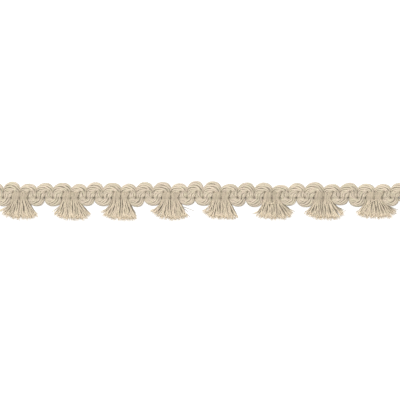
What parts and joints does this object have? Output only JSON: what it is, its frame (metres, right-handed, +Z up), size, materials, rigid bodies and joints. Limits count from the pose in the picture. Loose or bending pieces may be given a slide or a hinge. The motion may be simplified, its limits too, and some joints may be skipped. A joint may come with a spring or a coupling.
{
  "type": "tassel trim",
  "caption": "Scalloped gimp braid of thick twisted yarn loops bound by stitch rows, with short fan-shaped cut tassels along its lower edge, laid flat on its back.",
  "frame": {"origin": "on the flat underside, at the middle of the heading's height, under one leg of the yarn near the middle of the length", "axes": "+X along the trim, +Y across it away from the tassels, +Z up from the surface that it lies on"},
  "size_m": [0.2639, 0.0245, 0.004],
  "materials": {
    "gimp_yarn": "soft matt cotton yarn in a loose bundle",
    "tassel_yarn": "soft matt cotton yarn, cut and fanned out",
    "stitch_thread": "fine matt cotton thread"
  },
  "bodies": {
    "root": {"gimp_left_end": "gimp_yarn", "gimp_1": "gimp_yarn", "gimp_2": "gimp_yarn", "gimp_3": "gimp_yarn", "gimp_4": "gimp_yarn", "gimp_5": "gimp_yarn", "gimp_6": "gimp_yarn", "gimp_7": "gimp_yarn", "gimp_right_end": "gimp_yarn", "tassel_1": "tassel_yarn", "tassel_2": "tassel_yarn", "tassel_3": "tassel_yarn", "tassel_4": "tassel_yarn", "tassel_5": "tassel_yarn", "tassel_6": "tassel_yarn", "tassel_7": "tassel_yarn", "tassel_8": "tassel_yarn", "stitch_upper": "stitch_thread", "stitch_lower": "stitch_thread"}
  },
  "joints": []
}
